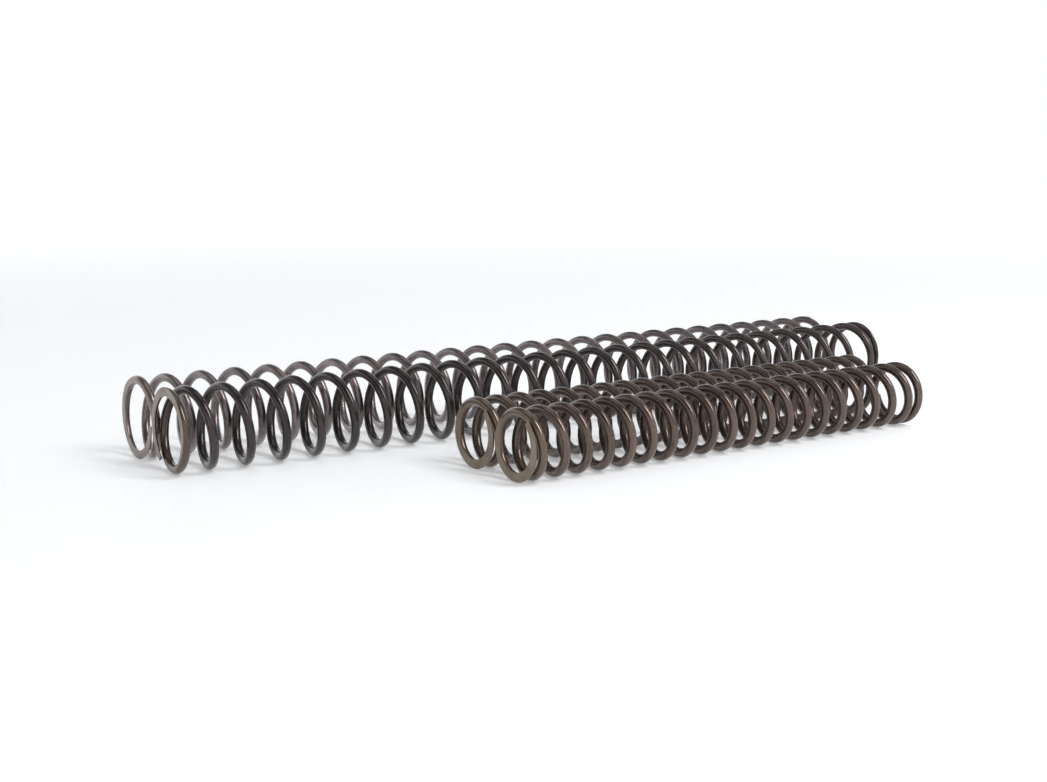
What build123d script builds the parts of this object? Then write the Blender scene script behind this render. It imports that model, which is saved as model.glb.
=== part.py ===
"""Set of four loose fork springs: a long wide pair and a short slim pair.

Every spring is one right-hand wound round wire lying along +X, with its ends closed and ground
flat. Each one is exported as three nodes cut square across the wire: the near end coil, the
active coils that shorten in use, and the far end coil.
"""
from math import cos, pi, sin
import os

from build123d import *

os.makedirs("parts", exist_ok=True)

# ---- driving dimensions, mm and turns ---------------------------------------------------------
long_outside = 32.0        # outside diameter of the long springs
long_wire = 3.4            # wire diameter of the long springs
long_free_length = 358.1   # ground face to ground face, unloaded
long_turns = 26.75         # total turns, tip to tip

short_outside = 26.8
short_wire = 3.55
short_free_length = 200.2
short_turns = 21.61

closed_turns = 0.87        # turns at each end wound down against their neighbour
ease_turns = 0.30          # turns over which the closed coil opens out to the running pitch
closed_gap = 0.10          # clear gap between the closed coil and its own tip
tip_share = 0.20           # thickness left at the ground tip, as a share of the wire

# where each spring lies on the ground
side_gap = 0.30            # between the two springs of a pair
pair_gap = 25.6            # between the long pair and the short pair
short_setback = 96.4       # near faces of the short springs, behind those of the long ones

# clock position of each near tip, in turns clockwise from twelve, seen from the near end
long_rear_tip = 0.265
long_front_tip = 0.600
short_rear_tip = 0.107
short_front_tip = 0.107

# ---- derived layout ----------------------------------------------------------------------------
total_width = 2 * long_outside + 2 * short_outside + 2 * side_gap + pair_gap
near_x = -long_free_length / 2
long_rear_y = total_width / 2 - long_outside / 2
long_front_y = long_rear_y - long_outside - side_gap
short_rear_y = long_front_y - long_outside / 2 - pair_gap - short_outside / 2
short_front_y = short_rear_y - short_outside - side_gap


class Coil:
    """The centreline of one spring: a point, a direction and a square plane at any turn."""

    def __init__(self, outside, wire, free_length, turns, tip, x, y):
        self.wire, self.turns, self.tip, self.x, self.y = wire, turns, tip, x, y
        self.height = outside / 2
        self.radius = (outside - wire) / 2
        self.length = free_length
        self.dead = closed_turns + ease_turns
        self.closed_pitch = wire + closed_gap
        # the wire's centre starts behind the ground face by what the grinding took off
        self.sunk = wire * (0.5 - tip_share)
        rest = self.closed_pitch * (2 * self.dead - ease_turns)
        self.pitch = (free_length + 2 * self.sunk - rest) / (turns - 2 * self.dead + ease_turns)

    def rise(self, t):
        """Distance along the axis that the wire's centre has gone after t turns."""
        if t > self.turns / 2:
            return self.length + 2 * self.sunk - self.rise(self.turns - t)
        if t <= closed_turns:
            return self.closed_pitch * t
        if t <= self.dead:
            u = t - closed_turns
            return self.closed_pitch * t + (self.pitch - self.closed_pitch) * u * u / (2 * ease_turns)
        opened = (self.pitch - self.closed_pitch) * (t - closed_turns - ease_turns / 2)
        return self.closed_pitch * t + opened

    def pitch_at(self, t):
        t = min(t, self.turns - t)
        share = min(max((t - closed_turns) / ease_turns, 0.0), 1.0)
        return self.closed_pitch + (self.pitch - self.closed_pitch) * share

    def point(self, t):
        a = 2 * pi * (t + self.tip)
        return Vector(self.x - self.sunk + self.rise(t),
                      self.y - self.radius * sin(a),
                      self.height + self.radius * cos(a))

    def direction(self, t):
        a = 2 * pi * (t + self.tip)
        lap = 2 * pi * self.radius
        return Vector(self.pitch_at(t), -lap * cos(a), -lap * sin(a)).normalized()

    def across(self, t):
        """Plane square across the wire."""
        return Plane(origin=self.point(t), z_dir=self.direction(t))

    def helix(self, start, stop):
        """Constant-pitch stretch of the centreline."""
        a = 2 * pi * (start + self.tip)
        at = Plane(origin=(self.x - self.sunk + self.rise(start), self.y, self.height),
                   x_dir=(0, -sin(a), cos(a)), z_dir=(1, 0, 0))
        run = Helix(pitch=self.pitch_at((start + stop) / 2), height=self.rise(stop) - self.rise(start),
                    radius=self.radius, mode=Mode.PRIVATE)
        return (at.location * run).edges()[0]

    def closed(self, start, stop):
        """Closed turn in quarter-like stretches, so the shallow ground flat cuts each one cleanly."""
        step = (stop - start) / 4
        return [self.helix(start + step * i, start + step * (i + 1)) for i in range(4)]

    def ease(self, start, stop):
        """Stretch over which the pitch changes evenly."""
        through = [self.point(start + (stop - start) * i / 8) for i in range(9)]
        return Spline(*through, tangents=[self.direction(start), self.direction(stop)],
                      mode=Mode.PRIVATE).edges()[0]


def make_end_coil(wire, outside, free_length, turns):
    """Closed turn with its ease, ground square at x = 0, lying along +X with its tip at twelve."""
    coil = Coil(outside, wire, free_length, turns, 0.0, 0.0, 0.0)
    coil.height = 0.0
    with BuildPart() as end_coil:
        with BuildSketch(coil.across(0)):
            Circle(wire / 2)
        sweep(path=Wire(coil.closed(0, closed_turns) + [coil.ease(closed_turns, coil.dead)]),
              is_frenet=True)
        split(bisect_by=Plane(origin=(0, 0, 0), z_dir=(1, 0, 0)), keep=Keep.TOP)
    return end_coil.part


def make_spring(name, coil, end_coil):
    last = coil.turns

    # near end coil, turned about the axis until its tip is at the right hour
    with BuildPart() as near_end:
        with Locations(Location((coil.x, coil.y, coil.height)) * Rotation(360 * coil.tip, 0, 0)):
            add(end_coil)
    near_end.part.label = name + "_near_end"
    export_step(near_end.part, "parts/" + name + "_near_end.step")

    # active coils: one even helix
    with BuildPart() as active_coils:
        with BuildSketch(coil.across(coil.dead)):
            Circle(coil.wire / 2)
        sweep(path=Wire([coil.helix(coil.dead, last - coil.dead)]), is_frenet=True)
    active_coils.part.label = name + "_active_coils"
    export_step(active_coils.part, "parts/" + name + "_active_coils.step")

    # far end coil: the same coil faced about, with its own tip hour
    with BuildPart() as far_end:
        with Locations(Location((coil.x + coil.length, coil.y, coil.height))
                       * Rotation(360 * (coil.tip + last), 0, 0) * Rotation(0, 0, 180)):
            add(end_coil)
    far_end.part.label = name + "_far_end"
    export_step(far_end.part, "parts/" + name + "_far_end.step")


long_sizes = (long_outside, long_wire, long_free_length, long_turns)
short_sizes = (short_outside, short_wire, short_free_length, short_turns)

long_end = make_end_coil(long_wire, long_outside, long_free_length, long_turns)
short_end = make_end_coil(short_wire, short_outside, short_free_length, short_turns)

make_spring("long_spring_rear",
            Coil(*long_sizes, long_rear_tip, near_x, long_rear_y), long_end)
make_spring("long_spring_front",
            Coil(*long_sizes, long_front_tip, near_x, long_front_y), long_end)
make_spring("short_spring_rear",
            Coil(*short_sizes, short_rear_tip, near_x + short_setback, short_rear_y), short_end)
make_spring("short_spring_front",
            Coil(*short_sizes, short_front_tip, near_x + short_setback, short_front_y), short_end)
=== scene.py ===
"""Four loose fork springs lying on a pale studio floor."""
from math import cos, hypot, pi, radians, sin

import bmesh
import bpy
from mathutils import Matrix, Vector
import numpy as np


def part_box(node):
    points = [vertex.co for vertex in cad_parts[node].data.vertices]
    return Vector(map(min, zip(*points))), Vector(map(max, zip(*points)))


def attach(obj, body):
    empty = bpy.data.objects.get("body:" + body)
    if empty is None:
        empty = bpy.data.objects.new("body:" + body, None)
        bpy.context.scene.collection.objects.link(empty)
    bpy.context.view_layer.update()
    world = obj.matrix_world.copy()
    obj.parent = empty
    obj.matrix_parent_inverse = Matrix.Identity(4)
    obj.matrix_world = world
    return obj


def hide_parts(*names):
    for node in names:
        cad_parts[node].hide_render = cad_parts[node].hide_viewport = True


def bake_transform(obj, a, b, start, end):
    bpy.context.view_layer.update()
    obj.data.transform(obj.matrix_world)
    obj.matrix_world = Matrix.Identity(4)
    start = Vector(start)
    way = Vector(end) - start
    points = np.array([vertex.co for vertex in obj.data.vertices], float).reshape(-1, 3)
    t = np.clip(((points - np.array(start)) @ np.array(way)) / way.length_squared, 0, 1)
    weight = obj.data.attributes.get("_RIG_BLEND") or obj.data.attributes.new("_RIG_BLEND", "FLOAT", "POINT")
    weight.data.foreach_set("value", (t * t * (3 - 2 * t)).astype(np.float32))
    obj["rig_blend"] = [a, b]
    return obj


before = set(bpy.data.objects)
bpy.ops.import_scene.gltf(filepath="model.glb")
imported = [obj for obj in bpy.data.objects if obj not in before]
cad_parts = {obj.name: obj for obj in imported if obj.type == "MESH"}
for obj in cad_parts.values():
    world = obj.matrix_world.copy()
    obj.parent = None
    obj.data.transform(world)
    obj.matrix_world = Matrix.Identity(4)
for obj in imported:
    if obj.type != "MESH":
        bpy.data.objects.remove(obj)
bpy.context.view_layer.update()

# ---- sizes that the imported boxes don't give --------------------------------------------------------
MM = 0.001
CLOSED_TURNS = 0.87         # wound down against the next coil
EASE_TURNS = 0.30           # opening out to the running pitch
CLOSED_GAP = 0.10 * MM
TIP_SHARE = 0.20            # of the wire, left at the ground tip
BROKEN_EDGE = 0.12 * MM     # taken off the edges of the ground flats
SHARP_ANGLE = radians(20)   # edges of a flat that turn by more than this are broken
RINGS_PER_TURN = 72
AROUND = 24                 # points round the wire

LONG_WIRE, LONG_TURNS = 3.4 * MM, 26.75
SHORT_WIRE, SHORT_TURNS = 3.55 * MM, 21.61

# wire, total turns, and the near tip's place in turns clockwise from twelve, seen from the near end
SPRINGS = {
    "long_spring_rear": (LONG_WIRE, LONG_TURNS, 0.265),
    "long_spring_front": (LONG_WIRE, LONG_TURNS, 0.600),
    "short_spring_rear": (SHORT_WIRE, SHORT_TURNS, 0.107),
    "short_spring_front": (SHORT_WIRE, SHORT_TURNS, 0.107),
}


# ---- the wire ------------------------------------------------------------------------------------
class Spring:
    """One spring's centreline, laid between the ground faces of its CAD nodes. Places along the wire
    are given in turns from the near tip."""

    def __init__(self, name, wire, turns, tip):
        near_low, near_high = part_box(name + "_near_end")
        far_low, far_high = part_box(name + "_far_end")
        coil_low, coil_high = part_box(name + "_active_coils")
        self.name, self.wire, self.turns, self.tip = name, wire, turns, tip
        self.near, self.far = near_low[0], far_high[0]
        self.y = (coil_low[1] + coil_high[1]) / 2
        self.z = (coil_low[2] + coil_high[2]) / 2
        self.radius = (coil_high[2] - coil_low[2] - wire) / 2
        self.dead = CLOSED_TURNS + EASE_TURNS
        self.closed_pitch = wire + CLOSED_GAP
        self.sunk = wire * (0.5 - TIP_SHARE)
        self.length = self.far - self.near
        rest = self.closed_pitch * (2 * self.dead - EASE_TURNS)
        self.pitch = (self.length + 2 * self.sunk - rest) / (turns - 2 * self.dead + EASE_TURNS)

    def rise(self, t):
        """Distance along the axis that the wire's centre has gone."""
        if t > self.turns / 2:
            return self.length + 2 * self.sunk - self.rise(self.turns - t)
        if t <= CLOSED_TURNS:
            return self.closed_pitch * t
        opened = self.pitch - self.closed_pitch
        if t <= self.dead:
            return self.closed_pitch * t + opened * (t - CLOSED_TURNS) ** 2 / (2 * EASE_TURNS)
        return self.closed_pitch * t + opened * (t - CLOSED_TURNS - EASE_TURNS / 2)

    def pitch_at(self, t):
        t = min(t, self.turns - t)
        share = min(max((t - CLOSED_TURNS) / EASE_TURNS, 0), 1)
        return self.closed_pitch + (self.pitch - self.closed_pitch) * share

    def ring(self, t):
        """Centre, outward direction and third direction of the wire's section at turn t."""
        a = 2 * pi * (t + self.tip)
        out = Vector((0, -sin(a), cos(a)))
        lap = 2 * pi * self.radius
        along = Vector((self.pitch_at(t), -lap * cos(a), -lap * sin(a))).normalized()
        centre = Vector((self.near - self.sunk + self.rise(t), self.y, self.z)) + out * self.radius
        return centre, out, along.cross(out)

    def run(self, t):
        """Length of wire from the near tip, near enough for a surface pattern."""
        return t * hypot(2 * pi * self.radius, self.pitch)


def wire_mesh(spring, start, stop):
    """Round wire from turn start to turn stop, closed at both ends. Every vertex also keeps its place on
    the straight wire, and its share of the way along the active coils."""
    bm = bmesh.new()
    straight = bm.verts.layers.float_vector.new("straight_wire")
    share = bm.verts.layers.float.new("coil_share")
    steps = max(round((stop - start) * RINGS_PER_TURN), 2)
    rings = []
    for i in range(steps + 1):
        t = start + (stop - start) * i / steps
        centre, out, third = spring.ring(t)
        ring = []
        for j in range(AROUND):
            a = 2 * pi * j / AROUND
            x, y = spring.wire / 2 * cos(a), spring.wire / 2 * sin(a)
            v = bm.verts.new(centre + out * x + third * y)
            v[straight] = (x, y, spring.run(t))
            v[share] = (t - spring.dead) / (spring.turns - 2 * spring.dead)
            ring.append(v)
        rings.append(ring)
    for a, b in zip(rings, rings[1:]):
        for j in range(AROUND):
            k = (j + 1) % AROUND
            bm.faces.new((a[j], a[k], b[k], b[j])).smooth = True
    for end in (list(reversed(rings[0])), rings[-1]):
        for edge in bm.faces.new(end).edges:
            edge.smooth = False
    bmesh.ops.recalc_face_normals(bm, faces=bm.faces)
    return bm


def grind(bm, x, outward):
    """Cuts the end coil square to the axis and breaks the sharp edges of the flat."""
    made = bmesh.ops.bisect_plane(bm, geom=bm.verts[:] + bm.edges[:] + bm.faces[:],
                                  plane_co=(x, 0, 0), plane_no=(outward, 0, 0), clear_outer=True)
    rim = [g for g in made["geom_cut"] if isinstance(g, bmesh.types.BMEdge)]
    for face in bmesh.ops.contextual_create(bm, geom=rim)["faces"]:
        face.material_index = 1
        if face.normal.x * outward < 0:
            face.normal_flip()
    bm.normal_update()
    sharp = [e for e in rim if e.is_valid and e.calc_face_angle(0) > SHARP_ANGLE]
    made = bmesh.ops.bevel(bm, geom=sharp, offset=BROKEN_EDGE, offset_type="OFFSET", segments=2,
                           profile=0.5, affect="EDGES", clamp_overlap=True, material=1)
    for face in made["faces"]:
        face.smooth = True


def piece(name, bm, materials):
    mesh = bpy.data.meshes.new(name)
    bm.to_mesh(mesh)
    bm.free()
    for m in materials:
        mesh.materials.append(m)
    obj = bpy.data.objects.new(name, mesh)
    bpy.context.collection.objects.link(obj)
    return obj


def build_spring(spring, wire_material, ground_material):
    """Two ground end coils that ride with the spring's ends, and the active coils between them."""
    name, last, dead = spring.name, spring.turns, spring.dead
    slot = name.split("_")[0] + "_spring_wire"
    near_body, far_body = name, name + "_far"

    for part, start, stop, x, outward, body in (
            ("near_end", 0, dead, spring.near, -1, near_body),
            ("far_end", last - dead, last, spring.far, 1, far_body)):
        bm = wire_mesh(spring, start, stop)
        grind(bm, x, outward)
        coil = piece(name + "_" + part + "_coil", bm, (wire_material, ground_material))
        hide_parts(name + "_" + part)
        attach(coil, body)

    bm = wire_mesh(spring, dead, last - dead)
    coils = piece(name + "_wire", bm, (wire_material,))
    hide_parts(name + "_active_coils")
    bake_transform(coils, near_body, far_body, start=(spring.near, spring.y, spring.z),
             end=(spring.far, spring.y, spring.z))
    # every section of the wire moves as one, by its share of the turns
    weights = coils.data.attributes["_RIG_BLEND"]
    shares = coils.data.attributes["coil_share"]
    for i in range(len(coils.data.vertices)):
        weights.data[i].value = min(max(shares.data[i].value, 0.0), 1.0)


# ---- materials -------------------------------------------------------------------------------------
class S:
    """A socket that can be used in arithmetic."""

    def __init__(self, tree, socket):
        self.tree, self.socket = tree, socket

    def _math(self, operation, *values):
        node = self.tree.nodes.new("ShaderNodeMath")
        node.operation = operation
        for i, v in enumerate(values):
            join(self.tree, v, node.inputs[i])
        return S(self.tree, node.outputs[0])

    def __add__(self, o): return self._math("ADD", self, o)
    def __radd__(self, o): return self._math("ADD", o, self)
    def __sub__(self, o): return self._math("SUBTRACT", self, o)
    def __rsub__(self, o): return self._math("SUBTRACT", o, self)
    def __mul__(self, o): return self._math("MULTIPLY", self, o)
    def __rmul__(self, o): return self._math("MULTIPLY", o, self)
    def __truediv__(self, o): return self._math("DIVIDE", self, o)
    def __rtruediv__(self, o): return self._math("DIVIDE", o, self)

    def clamp(self, low=0.0, high=1.0):
        return self._math("MAXIMUM", low, self._math("MINIMUM", self, high))

    def ramp(self, low, high):
        """0 below low, 1 above high, smooth between."""
        x = ((self - low) / (high - low)).clamp()
        return x * x * (3 - 2 * x)


def join(tree, value, socket):
    if isinstance(value, S):
        tree.links.new(value.socket, socket)
    else:
        socket.default_value = value


class Paint:
    """A material under construction."""

    def __init__(self, name):
        self.material = bpy.data.materials.new(name)
        self.material.use_nodes = True
        self.tree = self.material.node_tree
        self.shader = self.tree.nodes["Principled BSDF"]

    def node(self, kind, settings=None, sockets=None, out=0):
        node = self.tree.nodes.new(kind)
        for k, v in (settings or {}).items():
            setattr(node, k, v)
        for k, v in (sockets or {}).items():
            join(self.tree, v, node.inputs[k])
        return S(self.tree, node.outputs[out])

    def stretched(self, vector, x, y, z):
        return self.node("ShaderNodeVectorMath", {"operation": "MULTIPLY"}, {0: vector, 1: (x, y, z)})

    def noise(self, vector, scale, detail=3.0, roughness=0.55):
        return self.node("ShaderNodeTexNoise", None,
                         {"Vector": vector, "Scale": scale, "Detail": detail, "Roughness": roughness})

    def mix(self, factor, a, b):
        return self.node("ShaderNodeMix", {"data_type": "RGBA"}, {0: factor, 6: a, 7: b}, out=2)

    def finish(self, **sockets):
        for k, v in sockets.items():
            join(self.tree, v, self.shader.inputs[k.replace("_", " ")])
        return self.material


# how fine each pattern is, per metre: twice across the wire, then along it
DRAWING_LINES = (4200, 4200, 35)
TEMPER_CLOUDS = (120, 120, 22)
TEMPER_PATCHES = (500, 500, 260)
SPECKS = (5200, 5200, 2600)
# and along X, Y and Z on the ground faces
WHEEL_MARKS = (900, 900, 9000)
GROUND_CLOUDS = (160, 160, 160)
HEATED_RUN = (0.07, 0.13)    # metres of wire from the near tip over which the heat tint fades
DRIFT_RUN = (0.3, 2.4)       # and over which the temper colour drifts


def tempered_wire(name, dark, brown, worn, end_tint, far_tint, roughness):
    """Oil-tempered spring wire: drawn lengthwise, with uneven temper colour that drifts to another tone
    by the far end, and a warmer tint on the first turn, where grinding has heated it."""
    p = Paint(name)
    straight = p.node("ShaderNodeAttribute", {"attribute_name": "straight_wire"}, out=1)
    along = p.node("ShaderNodeSeparateXYZ", None, {0: straight}, out=2)
    drawn = p.noise(p.stretched(straight, *DRAWING_LINES), 1.0, 4.0, 0.6)
    cloud = p.noise(p.stretched(straight, *TEMPER_CLOUDS), 1.0, 3.0)
    patch = p.noise(p.stretched(straight, *TEMPER_PATCHES), 1.0, 3.0)
    speck = p.noise(p.stretched(straight, *SPECKS), 1.0, 2.0)
    colour = p.mix((cloud * 0.7 + patch * 0.3).ramp(0.36, 0.66), dark, brown)
    colour = p.mix(along.ramp(*DRIFT_RUN) * 0.5, colour, far_tint)
    heated = (1 - along.ramp(*HEATED_RUN)) * (0.55 + patch * 0.5)
    colour = p.mix(heated.clamp(), colour, end_tint)
    colour = p.mix((drawn.ramp(0.52, 0.78) * 0.35).clamp(), colour, worn)
    grain = drawn * 0.7 + speck * 0.3
    bump = p.node("ShaderNodeBump", None, {"Strength": 0.10, "Distance": 0.02 * MM, "Height": grain})
    return p.finish(Base_Color=colour, Metallic=0.80,
                    Roughness=(roughness + (drawn - 0.5) * 0.16 + (patch - 0.5) * 0.12).clamp(0.12, 0.9),
                    Normal=bump, Coat_Weight=0.50, Coat_Roughness=0.22)


def ground_face(name, pale, deep):
    """The ground end: fine straight wheel marks on bare, lightly browned steel."""
    p = Paint(name)
    place = p.node("ShaderNodeTexCoord", out=3)
    marks = p.noise(p.stretched(place, *WHEEL_MARKS), 1.0, 3.0, 0.65)
    cloud = p.noise(p.stretched(place, *GROUND_CLOUDS), 1.0, 2.0)
    colour = p.mix((marks * 0.5 + cloud * 0.5).ramp(0.36, 0.64), deep, pale)
    bump = p.node("ShaderNodeBump", None, {"Strength": 0.15, "Distance": 0.02 * MM, "Height": marks})
    return p.finish(Base_Color=colour, Metallic=0.45,
                    Roughness=(0.5 + (marks - 0.5) * 0.3).clamp(0.25, 0.85), Normal=bump)


rear_steel = tempered_wire(
    "long_spring_rear_steel", dark=(0.094, 0.072, 0.072, 1), brown=(0.262, 0.212, 0.206, 1),
    worn=(0.34, 0.29, 0.28, 1), end_tint=(0.20, 0.155, 0.132, 1), far_tint=(0.130, 0.108, 0.105, 1),
    roughness=0.28)
front_steel = tempered_wire(
    "long_spring_front_steel", dark=(0.018, 0.0135, 0.013, 1), brown=(0.054, 0.040, 0.036, 1),
    worn=(0.18, 0.15, 0.14, 1), end_tint=(0.108, 0.074, 0.054, 1), far_tint=(0.105, 0.080, 0.074, 1),
    roughness=0.27)
short_steel = tempered_wire(
    "short_spring_steel", dark=(0.066, 0.043, 0.034, 1), brown=(0.137, 0.094, 0.075, 1),
    worn=(0.26, 0.205, 0.18, 1), end_tint=(0.142, 0.101, 0.070, 1), far_tint=(0.105, 0.083, 0.075, 1),
    roughness=0.28)
long_ground = ground_face("long_spring_ground_end",
                          pale=(0.34, 0.30, 0.265, 1), deep=(0.225, 0.185, 0.160, 1))
short_ground = ground_face("short_spring_ground_end",
                           pale=(0.265, 0.215, 0.165, 1), deep=(0.165, 0.124, 0.086, 1))
WIRE_STEEL = {"long_spring_rear": rear_steel, "long_spring_front": front_steel,
              "short_spring_rear": short_steel, "short_spring_front": short_steel}

for spring_name, (wire, turns, tip) in SPRINGS.items():
    build_spring(Spring(spring_name, wire, turns, tip), WIRE_STEEL[spring_name],
                 long_ground if spring_name.startswith("long") else short_ground)


# ---- studio ------------------------------------------------------------------------------------------
FLOOR_RINGS = (0.02, 0.6, 1.5)   # radii on the flat floor; the first is round one face
CURVE_RADIUS, RIM_HEIGHT = 0.9, 1.3
CURVE_STEPS, SPOKES = 12, 96
FLOOR_GLOW, WALL_GLOW, WORLD_GLOW = 0.26, 0.47, 0.22
GLOW_RUN = (0.15, 1.7)           # metres from the middle over which the paper's glow grows

LENS, SENSOR_WIDE = 49.3107, 36.0    # mm
HEADING = radians(34.5149)           # of the camera, from square across the springs towards the far ends
PITCH = radians(9.42613)             # of the camera, below level
EYE_BEFORE, EYE_ASIDE, EYE_HEIGHT = 0.182735, 0.493565, 0.115372   # from the front long spring's near end


def paper_dish():
    """Seamless paper: a flat floor that curves up into a low wall all round."""
    bm = bmesh.new()
    floor_edge = FLOOR_RINGS[-1]
    profile = [(r, 0.0) for r in FLOOR_RINGS]
    for step in range(1, CURVE_STEPS + 1):
        a = pi / 2 * step / CURVE_STEPS
        profile.append((floor_edge + CURVE_RADIUS * sin(a), CURVE_RADIUS * (1 - cos(a))))
    profile.append((floor_edge + CURVE_RADIUS, RIM_HEIGHT))
    rings = [[bm.verts.new((r * cos(2 * pi * i / SPOKES), r * sin(2 * pi * i / SPOKES), z))
              for i in range(SPOKES)] for r, z in profile]
    bm.faces.new(rings[0])
    for inner, outer in zip(rings, rings[1:]):
        for i in range(SPOKES):
            k = (i + 1) % SPOKES
            bm.faces.new((inner[i], outer[i], outer[k], inner[k])).smooth = True
    return bm


paper = Paint("studio_paper")
paper_place = paper.node("ShaderNodeTexCoord", out=3)
paper_mottle = paper.noise(paper_place, 6.0, 2.0)
# the paper glows more away from the middle, as if lit from behind, so the wall is as white as the floor
from_middle = paper.node("ShaderNodeVectorMath", {"operation": "LENGTH"}, {0: paper_place}, out=1)
floor = piece("studio_floor", paper_dish(), (paper.finish(
    Base_Color=paper.mix(paper_mottle, (0.865, 0.885, 0.905, 1), (0.88, 0.897, 0.915, 1)), Roughness=0.6,
    Emission_Color=paper.mix(from_middle.ramp(*GLOW_RUN), (FLOOR_GLOW, FLOOR_GLOW, FLOOR_GLOW, 1),
                             (WALL_GLOW, WALL_GLOW, WALL_GLOW, 1)),
    Emission_Strength=1.0),))


def softbox(name, place, size, power, colour):
    """Area lamp aimed at the middle of the springs."""
    lamp = bpy.data.lights.new(name, "AREA")
    lamp.shape, lamp.size, lamp.size_y = "RECTANGLE", size[0], size[1]
    lamp.energy, lamp.color = power, colour
    obj = bpy.data.objects.new(name, lamp)
    bpy.context.collection.objects.link(obj)
    obj.location = place
    obj.rotation_euler = (-Vector(place)).to_track_quat("-Z", "Y").to_euler()


softbox("key_softbox", place=(0.36, -0.72, 0.95), size=(0.36, 0.75), power=9.2,
        colour=(1.0, 0.995, 0.99))
softbox("overhead_softbox", place=(-0.05, 0.25, 1.25), size=(0.9, 0.7), power=1.6,
        colour=(1.0, 1.0, 1.0))

world = bpy.data.worlds.new("studio_world")
world.use_nodes = True
sky = world.node_tree.nodes["Background"]
sky.inputs["Color"].default_value = (0.98, 0.99, 1.0, 1)
sky.inputs["Strength"].default_value = WORLD_GLOW
bpy.context.scene.world = world
bpy.context.scene.view_settings.view_transform = "Standard"

eye = bpy.data.cameras.new("camera")
eye.sensor_fit, eye.sensor_width = "HORIZONTAL", SENSOR_WIDE
eye.lens = LENS
eye.clip_start, eye.clip_end = 0.01, 20.0
camera = bpy.data.objects.new("camera", eye)
bpy.context.collection.objects.link(camera)
front_low, front_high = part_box("long_spring_front_near_end")
camera.location = (front_low[0] - EYE_BEFORE, (front_low[1] + front_high[1]) / 2 - EYE_ASIDE, EYE_HEIGHT)
look = Vector((cos(PITCH) * sin(HEADING), cos(PITCH) * cos(HEADING), -sin(PITCH)))
camera.rotation_euler = look.to_track_quat("-Z", "Y").to_euler()
bpy.context.scene.camera = camera
